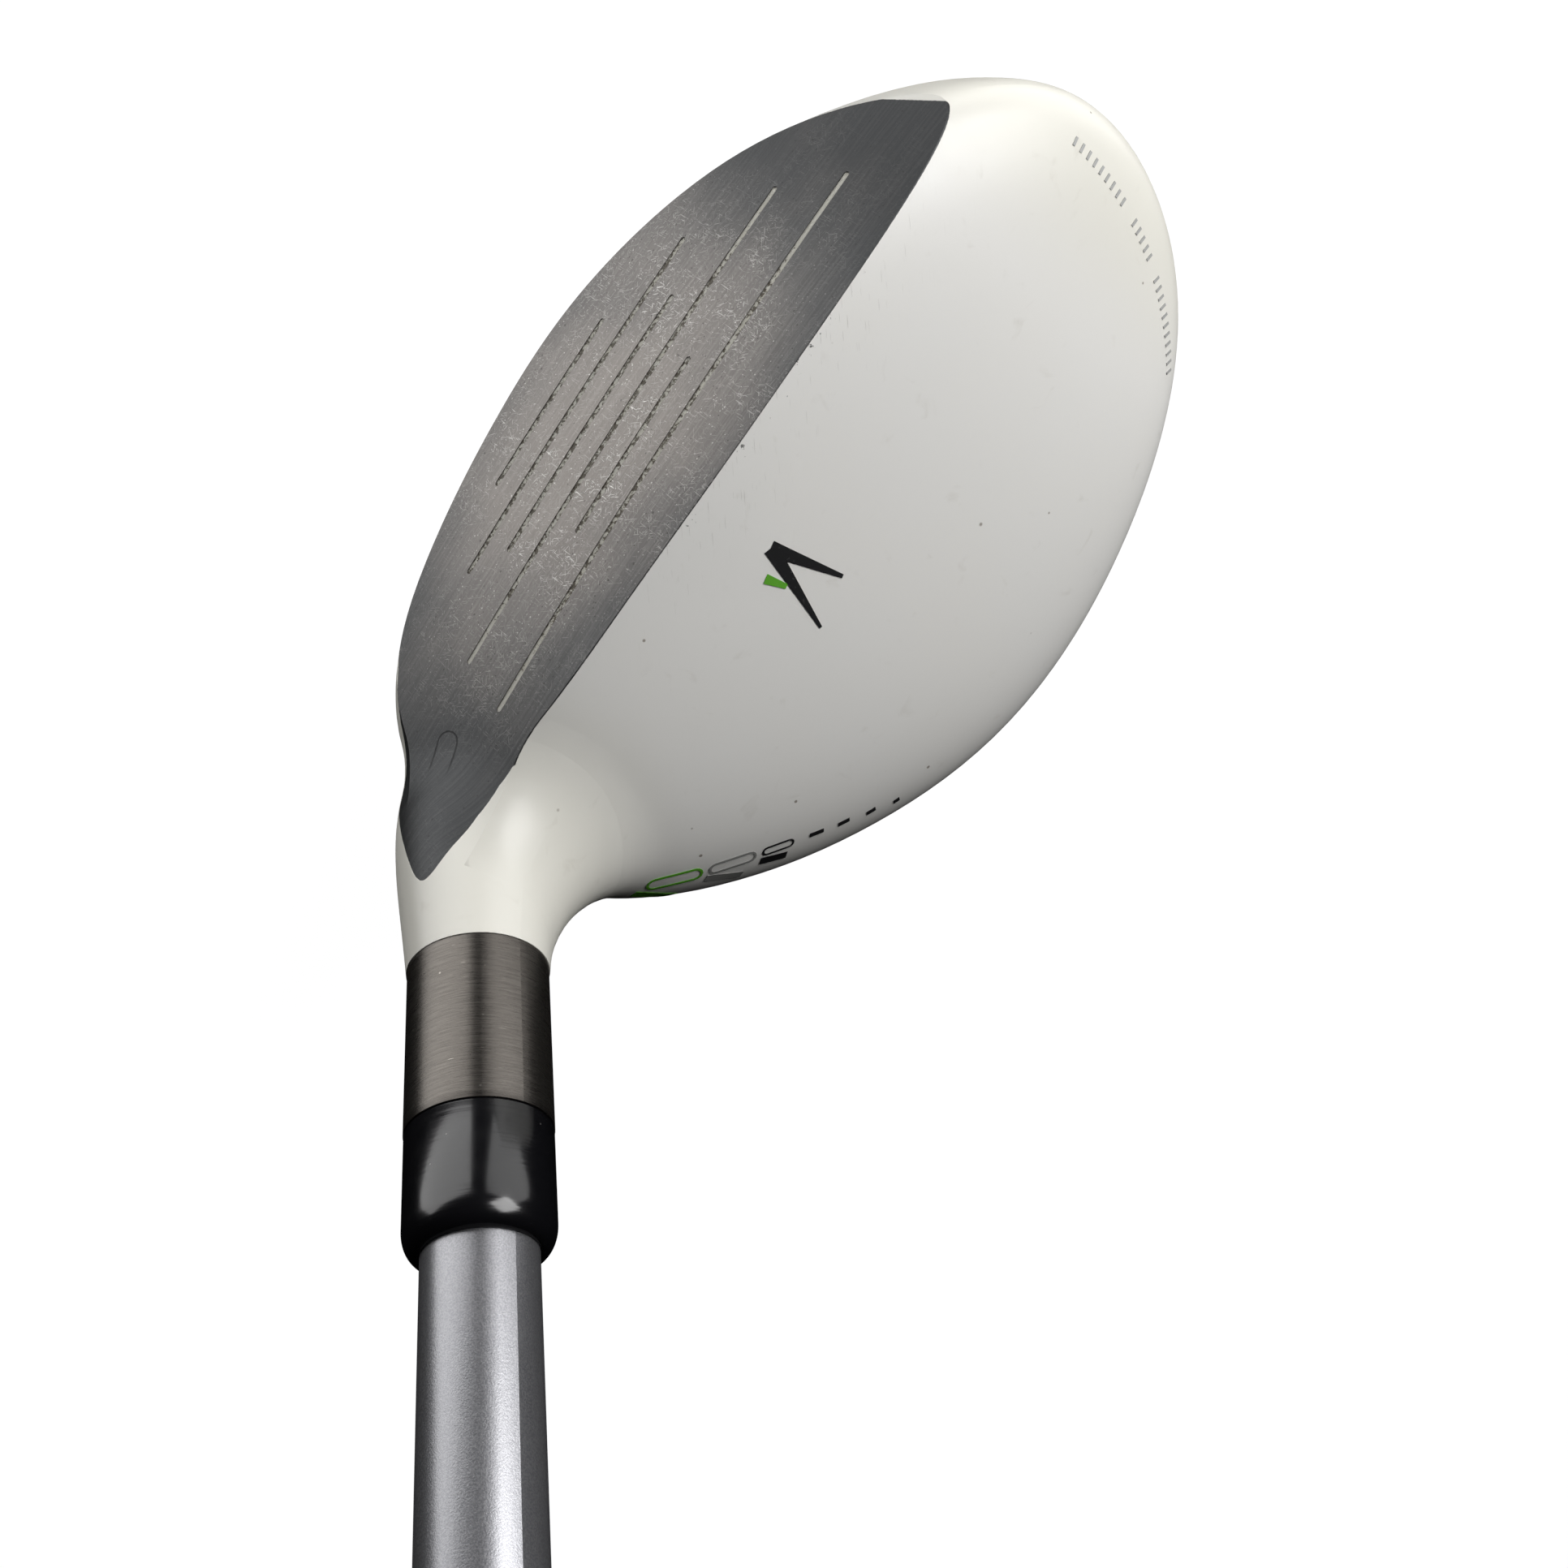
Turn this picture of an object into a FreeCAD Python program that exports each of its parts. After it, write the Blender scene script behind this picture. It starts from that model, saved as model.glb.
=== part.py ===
import FreeCAD, Part
import math
import os
import re
import Sketcher
from FreeCAD import Placement, Rotation, Vector

# Hybrid golf club at address, right-handed. The origin is the point where the
# shaft axis meets the ground. +X runs to the toe, +Y to the target, +Z up.
# "Station" means the distance from the origin along the shaft axis.

SIZES = {
    # club
    "lie": 59.5,
    "loft": 20.5,
    "face_open": 4.0,
    "club_length": 1029,
    # striking face: a point on it, its curvature and its plate
    "face_centre_x": 24.8,
    "face_centre_y": 7.7,
    "face_centre_z": 16.5,
    "bulge_radius": 485,
    "roll_radius": 257,
    "plate_thickness": 2.4,
    "plate_inset": 0.5,
    "plate_heel_top": -0.5,
    "plate_heel_bottom": -13.5,
    # score lines: the lowest one's height, their pitch up the slope and their ends
    "score_low_z": 9,
    "score_pitch": 3.2,
    "score_width": 0.6,
    "score_depth": 0.4,
    "score_paint": 0.3,
    "score_one_heel": 17,
    "score_one_toe": 35.8,
    "score_two_heel": 8.3,
    "score_two_toe": 46.4,
    "score_three_heel": 12.3,
    "score_three_toe": 40.9,
    "score_four_heel": 1.2,
    "score_four_toe": 54.4,
    "score_five_heel": 17.4,
    "score_five_toe": 36.4,
    "score_six_heel": -0.7,
    "score_six_toe": 58.3,
    # head skin: reach from its centre, every 30 degrees from the toe round by the target
    "head_centre_x": 21.9,
    "head_centre_y": -11.1,
    "reach_toe": 61,
    "reach_toe_front": 39.9,
    "reach_front_toe": 34.8,
    "reach_front": 28.8,
    "reach_front_heel": 29.9,
    "reach_heel_front": 40.6,
    "reach_heel": 40.6,
    "reach_heel_rear": 35.5,
    "reach_rear_heel": 34.8,
    "reach_rear": 39.3,
    "reach_rear_toe": 45.4,
    "reach_toe_rear": 58,
    # head skin: crown height, height of the widest line, and how both tilt
    "crown_height": 31,
    "crown_tilt_toe": 0.7,
    "crown_tilt_front": -0.6,
    "waist_height": 19,
    "waist_tilt_toe": 3.9,
    "waist_tilt_front": 1.4,
    # head walls
    "crown_wall": 0.9,
    "side_wall": 1.3,
    "sole_wall": 2.6,
    "crown_seam_above_waist": 3.5,
    "crown_seam_neck_radius": 14,
    # neck and hosel, as radii and stations
    "neck_foot_radius": 2.5,
    "neck_foot": 6,
    "neck_flare_radius": 5,
    "neck_flare": 13,
    "neck_root_radius": 9.2,
    "neck_root": 24,
    "neck_middle_radius": 7.2,
    "neck_middle": 35,
    "neck_top_radius": 6.5,
    "neck_top": 42.6,
    "neck_blend": 16,
    "hosel_column_radius": 7.4,
    "hosel_column_base": 14,
    "hosel_floor": 18,
    "hosel_spigot_radius": 5.8,
    "hosel_radius": 6.4,
    "hosel_bore": 5,
    "hosel_top": 59.2,
    "plug_length": 3,
    "ferrule_radius": 6.35,
    "ferrule_bore": 4.9,
    "ferrule_shoulder": 66.6,
    "ferrule_brow": 68.6,
    "ferrule_brow_radius": 6.0,
    "ferrule_top": 70.2,
    "ferrule_top_radius": 5.2,
    # shaft
    "tip_radius": 4.85,
    "tip_end": 22,
    "tip_parallel_end": 70,
    "tip_bore": 2.6,
    "tip_bore_end": 80,
    "butt_radius": 7.5,
    "butt_bore": 6.5,
    "butt_end": 1024,
    "tip_weight_end": 37,
    "tip_plug_end": 43,
    # grip
    "tape_thickness": 0.15,
    "tape_start": 768,
    "grip_start": 762,
    "grip_mouth_radius": 8.1,
    "grip_lip": 765,
    "grip_lip_radius": 9,
    "grip_waist": 985,
    "grip_waist_radius": 11.8,
    "cap_seam": 1016,
    "cap_seam_radius": 13.4,
    "cap_radius": 13.5,
    "cap_shoulder": 1026.5,
    "cap_crown_radius": 11,
    "vent_radius": 1.6,
    # sole badge, weight screw and what is inside the head
    "badge_centre_x": 26,
    "badge_centre_y": -7,
    "badge_length": 48,
    "badge_width": 15,
    "badge_thickness": 0.6,
    "screw_x": 20,
    "screw_y": -32,
    "screw_base": 0.6,
    "screw_head_radius": 6.5,
    "screw_head_length": 3,
    "screw_shank_radius": 3.5,
    "screw_length": 9,
    "screw_socket": 4,
    "screw_socket_depth": 2.2,
    "boss_radius": 7.9,
    "boss_height": 9.6,
    "pad_front_y": -33,
    "pad_height": 9,
    "glue_x": 52,
    "glue_y": -15,
    "glue_radius": 12,
    "glue_height": 3.6,
}

SCORE_LINES = ["one", "two", "three", "four", "five", "six"]

REACHES = [
    "reach_toe", "reach_toe_front", "reach_front_toe", "reach_front",
    "reach_front_heel", "reach_heel_front", "reach_heel", "reach_heel_rear",
    "reach_rear_heel", "reach_rear", "reach_rear_toe", "reach_toe_rear",
]

# The head's section from crown to sole: share of the reach, and height as a
# share from the waist up to the crown (1) or down to the sole (-1).
SECTION = [
    (0, 1), (0.35, 1), (0.71, 0.96), (1, 0.67), (1.01, 0),
    (0.995, -0.62), (0.705, -0.967), (0.35, -1), (0, -1),
]


def make_sheet(doc):
    """The spreadsheet with every driving dimension, in millimetres and degrees."""
    sheet = doc.addObject("Spreadsheet::Sheet", "Sizes")
    for row, (name, value) in enumerate(SIZES.items(), start=1):
        sheet.set(f"A{row}", name)
        sheet.set(f"B{row}", str(value))
        sheet.setAlias(f"B{row}", name)
    doc.recompute()
    return sheet


def on_sheet(text):
    """An expression in which every word is a cell of the sheet."""
    return re.sub(r"[a-z_]+", lambda word: "Sizes." + word.group(), text)


def stand_on_shaft_axis(body):
    """Lean a piece that is turned about its own Z over to the shaft axis."""
    body.Placement = Placement(Vector(0, 0, 0), Rotation(Vector(0, 1, 0), -30))
    body.setExpression("Placement.Rotation.Angle", on_sheet("lie - 90"))


def turned_piece(doc, name, profile, leans=True):
    """A body turned about Z from a closed outline of (radius, station) expressions."""
    body = doc.addObject("PartDesign::Body", name)
    body.Label = name
    plane = next(o for o in body.Origin.OriginFeatures if o.Role == "XZ_Plane")
    sketch = body.newObject("Sketcher::SketchObject", name + "_profile")
    sketch.AttachmentSupport = [(plane, "")]
    sketch.MapMode = "FlatFace"
    sheet = doc.Sizes
    points = [[sheet.evalExpression(on_sheet(e)) if e != "0" else 0.0 for e in p] for p in profile]
    points = [Vector(float(r), float(z), 0) for r, z in points]
    count = len(points)
    for i in range(count):
        sketch.addGeometry(Part.LineSegment(points[i], points[(i + 1) % count]), False)
    for i in range(count):
        sketch.addConstraint(Sketcher.Constraint("Coincident", i, 2, (i + 1) % count, 1))
    for i, (radius, station) in enumerate(profile):
        if radius == "0":
            sketch.addConstraint(Sketcher.Constraint("PointOnObject", i, 1, -2))
        else:
            index = sketch.addConstraint(Sketcher.Constraint("DistanceX", -1, 1, i, 1, points[i].x))
            sketch.setExpression(f"Constraints[{index}]", on_sheet(radius))
        index = sketch.addConstraint(Sketcher.Constraint("DistanceY", -1, 1, i, 1, points[i].y))
        sketch.setExpression(f"Constraints[{index}]", on_sheet(station))
    turn = body.newObject("PartDesign::Revolution", name + "_turn")
    turn.Profile = sketch
    turn.ReferenceAxis = (sketch, ["V_Axis"])
    turn.Angle = 360
    if leans:
        stand_on_shaft_axis(body)
    return body


def sleeve(inner, outer, base, top):
    """Outline of a plain tube."""
    return [(inner, base), (outer, base), (outer, top), (inner, top)]


def plug(radius, base, top):
    """Outline of a plain solid rod."""
    return [("0", base), (radius, base), (radius, top), ("0", top)]


SHAFT_TAPER = "(butt_radius - tip_radius) / (butt_end - tip_parallel_end)"


def shaft_radius_at(station):
    return f"tip_radius + {SHAFT_TAPER} * ({station} - tip_parallel_end)"


def make_turned_pieces(doc):
    """Everything round about the shaft axis, from the hosel plug to the grip's cap."""
    taped = " + tape_thickness"
    pieces = {
        "hosel_plug": plug("hosel_bore", "hosel_floor", "hosel_floor + plug_length"),
        "hosel_tube": [
            ("hosel_bore", "hosel_floor"), ("hosel_spigot_radius", "hosel_floor"),
            ("hosel_spigot_radius", "neck_top"), ("hosel_radius", "neck_top"),
            ("hosel_radius", "hosel_top"), ("hosel_bore", "hosel_top"),
        ],
        "epoxy_bond": sleeve("tip_radius", "hosel_bore", "tip_end", "hosel_top"),
        "ferrule": [
            ("ferrule_bore", "hosel_top"), ("ferrule_radius", "hosel_top"),
            ("ferrule_radius", "ferrule_shoulder"), ("ferrule_brow_radius", "ferrule_brow"),
            ("ferrule_top_radius", "ferrule_top"), ("ferrule_bore", "ferrule_top"),
        ],
        "tip_weight": [
            ("0", "tip_end - 1"), ("tip_radius", "tip_end - 1"), ("tip_radius", "tip_end"),
            ("tip_bore", "tip_end"), ("tip_bore", "tip_weight_end"), ("0", "tip_weight_end"),
        ],
        "tip_plug": plug("tip_bore", "tip_weight_end", "tip_plug_end"),
        "shaft": [
            ("tip_bore", "tip_end"), ("tip_radius", "tip_end"),
            ("tip_radius", "tip_parallel_end"), ("butt_radius", "butt_end"),
            ("butt_bore", "butt_end"), ("tip_bore", "tip_bore_end"),
        ],
        "grip_tape": [
            (shaft_radius_at("tape_start"), "tape_start"),
            (shaft_radius_at("tape_start") + taped, "tape_start"),
            ("butt_radius" + taped, "butt_end"), ("butt_radius", "butt_end"),
        ],
        "grip_sleeve": [
            (shaft_radius_at("grip_start"), "grip_start"),
            ("grip_mouth_radius", "grip_start"), ("grip_lip_radius", "grip_lip"),
            ("grip_waist_radius", "grip_waist"), ("cap_seam_radius", "cap_seam"),
            (shaft_radius_at("cap_seam") + taped, "cap_seam"),
            (shaft_radius_at("tape_start") + taped, "tape_start"),
            (shaft_radius_at("tape_start"), "tape_start"),
        ],
        "grip_cap": [
            (shaft_radius_at("cap_seam") + taped, "cap_seam"), ("cap_seam_radius", "cap_seam"),
            ("cap_radius", "cap_shoulder"), ("cap_crown_radius", "club_length"),
            ("vent_radius", "club_length"), ("vent_radius", "butt_end"),
            ("butt_radius" + taped, "butt_end"),
        ],
    }
    return [turned_piece(doc, name, profile) for name, profile in pieces.items()]


def make_weight_screw(doc):
    """The screw that sets the head's weight: it goes up into the sole's boss."""
    top = "screw_base + screw_length"
    under_head = "screw_base + screw_head_length"
    outline = [
        ("0", "screw_base"), ("screw_head_radius", "screw_base"),
        ("screw_head_radius", under_head), ("screw_shank_radius", under_head),
        ("screw_shank_radius", top), ("0", top),
    ]
    body = turned_piece(doc, "weight_screw", outline, leans=False)
    plane = next(o for o in body.Origin.OriginFeatures if o.Role == "XY_Plane")
    sketch = body.newObject("Sketcher::SketchObject", "socket_hexagon")
    sketch.AttachmentSupport = [(plane, "")]
    sketch.MapMode = "FlatFace"
    sketch.setExpression("AttachmentOffset.Base.z", on_sheet("screw_base"))
    corners = [Vector(math.cos(math.radians(a)), math.sin(math.radians(a)), 0) for a in range(0, 360, 60)]
    reach = SIZES["screw_socket"]
    for i in range(6):
        sketch.addGeometry(Part.LineSegment(corners[i] * reach, corners[(i + 1) % 6] * reach), False)
    circle = sketch.addGeometry(Part.Circle(Vector(0, 0, 0), Vector(0, 0, 1), reach), True)
    for i in range(6):
        sketch.addConstraint(Sketcher.Constraint("Coincident", i, 2, (i + 1) % 6, 1))
        sketch.addConstraint(Sketcher.Constraint("PointOnObject", i, 1, circle))
    for i in range(5):
        sketch.addConstraint(Sketcher.Constraint("Equal", i, i + 1))
    sketch.addConstraint(Sketcher.Constraint("Coincident", circle, 3, -1, 1))
    sketch.addConstraint(Sketcher.Constraint("PointOnObject", 0, 1, -1))
    index = sketch.addConstraint(Sketcher.Constraint("Radius", circle, reach))
    sketch.setExpression(f"Constraints[{index}]", on_sheet("screw_socket"))
    socket = body.newObject("PartDesign::Pocket", "screw_socket_cut")
    socket.Profile = sketch
    socket.Reversed = True
    socket.setExpression("Length", on_sheet("screw_socket_depth"))
    body.setExpression("Placement.Base.x", on_sheet("screw_x"))
    body.setExpression("Placement.Base.y", on_sheet("screw_y"))
    return body


def shaft_axis(size):
    lie = math.radians(size.lie)
    return Vector(-math.cos(lie), 0, math.sin(lie))


def along_shaft(size, base_radius, base, top_radius, top):
    """A straight or tapered rod on the shaft axis between two stations."""
    axis = shaft_axis(size)
    if base_radius == top_radius:
        return Part.makeCylinder(base_radius, top - base, axis * base, axis)
    return Part.makeCone(base_radius, top_radius, top - base, axis * base, axis)


def head_skin(size, off_crown=0.0, off_side=0.0, off_sole=0.0):
    """The rounded head as one smooth solid, or the same drawn in by a wall thickness."""
    poles = []
    for step, name in enumerate(REACHES):
        turn = math.radians(30 * step)
        to_toe = math.cos(turn)
        to_front = math.sin(turn)
        reach = getattr(size, name) - off_side
        waist = size.waist_height + size.waist_tilt_toe * to_toe + size.waist_tilt_front * to_front
        row = []
        for share, height in SECTION:
            tilt = size.crown_tilt_toe * to_toe + size.crown_tilt_front * to_front
            crown = size.crown_height - off_crown + tilt * share
            rise = crown - waist if height >= 0 else waist - off_sole
            x = size.head_centre_x + share * reach * to_toe
            y = size.head_centre_y + share * reach * to_front
            row.append(Vector(x, y, waist + height * rise))
        poles.append(row)
    around = len(poles)
    spans = len(SECTION) - 3
    skin = Part.BSplineSurface()
    skin.buildFromPolesMultsKnots(
        poles, [1] * (around + 1), [4] + [1] * (spans - 1) + [4],
        list(range(around + 1)), list(range(spans + 1)), True, False, 3, 3,
    )
    return Part.Solid(Part.Shell([skin.toShape()]))


def face_height(size, x, z):
    """How far forward (+Y) the striking face lies at a place, with bulge, roll and loft."""
    loft = math.radians(size.loft)
    dx = x - size.face_centre_x
    dz = z - size.face_centre_z
    bulge = dx ** 2 / (2 * size.bulge_radius)
    roll = (dz / math.cos(loft)) ** 2 / (2 * size.roll_radius)
    open_angle = math.radians(size.face_open)
    return size.face_centre_y - dz * math.tan(loft) - dx * math.tan(open_angle) - bulge - roll


def space_ahead_of_face(size, behind=0.0):
    """A block whose rear side is the striking face, or that face moved back."""
    reach = 120
    spread = [size.face_centre_x - reach, size.face_centre_x, size.face_centre_x + reach]
    heights = [size.face_centre_z - reach, size.face_centre_z, size.face_centre_z + reach]

    def parabola_poles(values):
        return [values[0], 2 * values[1] - (values[0] + values[2]) / 2, values[2]]

    centre = face_height(size, spread[1], heights[1])
    across = parabola_poles([face_height(size, x, heights[1]) - centre for x in spread])
    upwards = parabola_poles([face_height(size, spread[1], z) for z in heights])
    poles = [
        [Vector(x, across[i] + upwards[j] - behind, z) for j, z in enumerate(heights)]
        for i, x in enumerate(spread)
    ]
    face = Part.BSplineSurface()
    face.buildFromPolesMultsKnots(poles, [3, 3], [3, 3], [0, 1], [0, 1], False, False, 2, 2)
    return face.toShape().extrude(Vector(0, reach, 0))


def heel_side_of_plate(size):
    """The block on the heel side of the face plate's slanted heel edge."""
    reach = 100
    lean = (size.plate_heel_top - size.plate_heel_bottom) / size.crown_height
    low = size.plate_heel_bottom - lean * reach
    high = size.plate_heel_top + lean * reach
    top = size.crown_height + reach
    corners = [(low, -reach), (high, top), (high - 2 * reach, top), (low - 2 * reach, -reach)]
    points = [Vector(x, -reach, z) for x, z in corners]
    outline = Part.makePolygon(points + points[:1])
    return Part.Face(outline).extrude(Vector(0, 2 * reach, 0))


def slot(size, heel, toe, z):
    """A round-ended bar through the face, square to it, along one score line."""
    radius = size.score_width / 2
    outline = Part.Wire([
        Part.LineSegment(Vector(heel, 0, -radius), Vector(toe, 0, -radius)).toShape(),
        Part.Arc(Vector(toe, 0, -radius), Vector(toe + radius, 0, 0), Vector(toe, 0, radius)).toShape(),
        Part.LineSegment(Vector(toe, 0, radius), Vector(heel, 0, radius)).toShape(),
        Part.Arc(Vector(heel, 0, radius), Vector(heel - radius, 0, 0), Vector(heel, 0, -radius)).toShape(),
    ])
    half_length = 12
    bar = Part.Face(outline).extrude(Vector(0, 2 * half_length, 0))
    bar.translate(Vector(0, -half_length, 0))
    bar.rotate(Vector(0, 0, 0), Vector(1, 0, 0), size.loft)
    bar.translate(Vector(0, face_height(size, (heel + toe) / 2, z), z))
    return bar


def make_score_lines(size):
    """The grooves to cut in the face plate, and the paint that lies in each."""
    ahead_of_floor = space_ahead_of_face(size, size.score_depth)
    ahead_of_paint = space_ahead_of_face(size, size.score_depth - size.score_paint)
    rise = size.score_pitch * math.cos(math.radians(size.loft))
    grooves = []
    paint = []
    for number, name in enumerate(SCORE_LINES):
        heel = getattr(size, f"score_{name}_heel")
        toe = getattr(size, f"score_{name}_toe")
        bar = slot(size, heel, toe, size.score_low_z + number * rise)
        groove = bar.common(ahead_of_floor)
        grooves.append(groove)
        paint.append(groove.cut(ahead_of_paint))
    return grooves, paint


def neck_stem(size):
    """The neck, turned about the shaft axis, with a foot that fades away inside the head."""
    axis = shaft_axis(size)
    outward = Vector(0, 1, 0).cross(axis)
    ends = ["foot", "flare", "root", "middle", "top"]
    outline = [
        axis * getattr(size, f"neck_{end}") + outward * getattr(size, f"neck_{end}_radius")
        for end in ends
    ]
    side = Part.BSplineCurve()
    side.buildFromPoles(outline)
    foot = axis * size.neck_foot
    top = axis * size.neck_top
    profile = Part.Wire([
        side.toShape(), Part.makeLine(outline[-1], top),
        Part.makeLine(top, foot), Part.makeLine(foot, outline[0]),
    ])
    return Part.Face(profile).revolve(Vector(0, 0, 0), axis, 360)


def lies_on(shape, point):
    return shape.distToShape(Part.Vertex(point))[0] < 0.001


def outer_head(size):
    """The solid head with its neck blended in, before any wall or recess is cut."""
    axis = shaft_axis(size)
    head = head_skin(size).cut(space_ahead_of_face(size))
    neck = neck_stem(size)
    joined = head.fuse(neck)
    root = []
    for edge in joined.Edges:
        middle = edge.valueAt((edge.FirstParameter + edge.LastParameter) / 2)
        below_top = middle.dot(axis) < size.neck_top - 1
        if below_top and lies_on(head, middle) and lies_on(neck, middle):
            root.append(edge)
    return joined.makeFillet(size.neck_blend, root)


def crown_region(size):
    """The space above the crown's seam, less the part that belongs to the neck."""
    reach = 100
    slope_x = size.waist_tilt_toe / size.reach_toe
    slope_y = size.waist_tilt_front / size.reach_front
    height = size.waist_height + size.crown_seam_above_waist
    centre = Vector(size.head_centre_x, size.head_centre_y, height)
    up = Vector(-slope_x, -slope_y, 1)
    block = Part.makeCylinder(2 * reach, reach, centre, up)
    return block.cut(along_shaft(size, size.crown_seam_neck_radius, 0, size.crown_seam_neck_radius, reach))


def rounded_bar(size, length, width):
    """An upright bar whose plan is a rectangle with rounded ends, on the badge's centre."""
    radius = width / 2
    half = length / 2 - radius
    x = size.badge_centre_x
    y = size.badge_centre_y
    middle = Part.makeBox(2 * half, width, size.crown_height, Vector(x - half, y - radius, -10))
    toe_end = Part.makeCylinder(radius, size.crown_height, Vector(x + half, y, -10))
    heel_end = Part.makeCylinder(radius, size.crown_height, Vector(x - half, y, -10))
    return middle.fuse([toe_end, heel_end]).removeSplitter()


def make_head(size):
    """All the head's pieces, as a dictionary of shapes in the club's frame."""
    whole = outer_head(size)
    plate_space = head_skin(size, size.plate_inset, size.plate_inset, size.plate_inset)
    plate = plate_space.cut(space_ahead_of_face(size)).common(space_ahead_of_face(size, size.plate_thickness))
    plate = plate.cut(heel_side_of_plate(size))

    cavity = head_skin(size, size.crown_wall, size.side_wall, size.sole_wall)
    cavity = cavity.cut(space_ahead_of_face(size, size.plate_thickness))
    column = along_shaft(size, size.hosel_column_radius, size.hosel_column_base,
                         size.hosel_column_radius, size.neck_top)
    boss = Part.makeCylinder(size.boss_radius, size.boss_height, Vector(size.screw_x, size.screw_y, 0))
    cavity = cavity.cut([column, boss])

    badge_bar = rounded_bar(size, size.badge_length, size.badge_width)
    above_badge = head_skin(size, off_sole=size.badge_thickness)
    badge = badge_bar.common(whole).cut(above_badge)

    screw_hole = Part.makeCylinder(size.screw_head_radius, size.screw_base + size.screw_head_length,
                                   Vector(size.screw_x, size.screw_y, 0))
    thread_hole = Part.makeCylinder(size.screw_shank_radius, size.boss_height,
                                    Vector(size.screw_x, size.screw_y, 0))
    hosel_hole = along_shaft(size, size.hosel_spigot_radius, size.hosel_floor,
                             size.hosel_spigot_radius, size.neck_top)
    shell = whole.cut([plate, cavity, badge, screw_hole, thread_hole, hosel_hole])
    above_seam = crown_region(size)
    crown = shell.common(above_seam)
    body = shell.cut(above_seam)

    pad_space = Part.makeBox(120, 80, size.pad_height, Vector(-40, size.pad_front_y - 80, 0))
    pad = cavity.common(pad_space)
    pool = Part.makeCylinder(size.glue_radius, size.glue_height, Vector(size.glue_x, size.glue_y, 0))
    glue = cavity.common(pool)

    grooves, paint = make_score_lines(size)
    return {
        "head_body": body,
        "crown_shell": crown,
        "face_plate": plate.cut(grooves),
        "score_line_paint": Part.makeCompound(paint),
        "sole_badge": badge,
        "rear_weight": pad,
        "tuning_glue": glue,
    }


def check(doc, pieces):
    """Stop on a failed object or a shape that is not a sound solid."""
    for item in doc.Objects:
        if "Invalid" in item.State or "Error" in item.State:
            raise RuntimeError(f"{item.Label} failed: {item.State}")
    for piece in pieces:
        shape = piece.Shape
        if shape.isNull() or not shape.isValid() or not shape.Solids or shape.Volume <= 0:
            raise RuntimeError(f"{piece.Label} is not a sound solid")


def main():
    doc = FreeCAD.newDocument("hybrid_club")
    size = make_sheet(doc)
    pieces = make_turned_pieces(doc)
    pieces.append(make_weight_screw(doc))
    for name, shape in make_head(size).items():
        piece = doc.addObject("Part::Feature", name)
        piece.Label = name
        piece.Shape = shape
        piece.Placement = Placement(Vector(0, 0, 0), Rotation())
        pieces.append(piece)
    doc.recompute()
    check(doc, pieces)
    os.makedirs("parts", exist_ok=True)
    for piece in pieces:
        piece.Shape.exportStep(f"parts/{piece.Label}.step")
        print(piece.Label, len(piece.Shape.Solids), round(piece.Shape.Volume, 1))


main()
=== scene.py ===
import math

import bpy
from mathutils import Euler, Matrix, Vector
from mathutils.bvhtree import BVHTree


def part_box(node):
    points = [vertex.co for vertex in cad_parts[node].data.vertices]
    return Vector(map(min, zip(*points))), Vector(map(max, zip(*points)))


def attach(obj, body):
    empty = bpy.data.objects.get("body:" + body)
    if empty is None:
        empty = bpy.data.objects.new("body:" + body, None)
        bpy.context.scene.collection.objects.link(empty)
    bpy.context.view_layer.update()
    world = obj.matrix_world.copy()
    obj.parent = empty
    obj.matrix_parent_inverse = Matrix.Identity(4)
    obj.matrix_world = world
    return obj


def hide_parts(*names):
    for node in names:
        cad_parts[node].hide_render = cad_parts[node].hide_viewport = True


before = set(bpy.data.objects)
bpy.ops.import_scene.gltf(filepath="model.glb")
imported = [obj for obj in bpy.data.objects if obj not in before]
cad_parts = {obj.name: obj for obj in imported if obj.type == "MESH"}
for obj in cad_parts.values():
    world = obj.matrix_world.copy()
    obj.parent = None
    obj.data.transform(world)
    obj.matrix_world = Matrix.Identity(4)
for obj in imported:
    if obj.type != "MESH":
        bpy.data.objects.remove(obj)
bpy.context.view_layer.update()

# The club stands at address: +X to the toe, +Y to the target, +Z up. Blender
# works in metres, and the materials below work in millimetres.
MM = 0.001
LIE = math.radians(59.5)
SHAFT_AXIS = Vector((-math.cos(LIE), 0, math.sin(LIE)))

# The striking face: a point on it, its angles, its two curvatures and the middle of its lines.
FACE_POINT = (24.8, 7.7, 16.5)
LOFT = math.radians(20.5)
FACE_OPEN = math.radians(4)
BULGE_RADIUS = 485
ROLL_RADIUS = 257
SCORE_MIDDLE = 27

# Stations along the shaft, in millimetres from the ground.
HOSEL_TOP = 59.2
FERRULE_SHOULDER = 67.9
FERRULE_TOP = 70.2
FERRULE_RADIUS = 6.35
FERRULE_TOP_RADIUS = 5.0
GRIP_START = 762
GRIP_END = 1016

# Middle of the head in plan, and a height above the whole head.
HEAD_MIDDLE = Vector((21.9, -11.1))
OVER_HEAD = 60

# Brightness of the studio above and below the horizon, and the stage's radius in metres.
SKY_ABOVE = 0.14
SKY_BELOW = 0.03
STAGE_RADIUS = 5.5


# ---------------------------------------------------------------- shader helper

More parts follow.
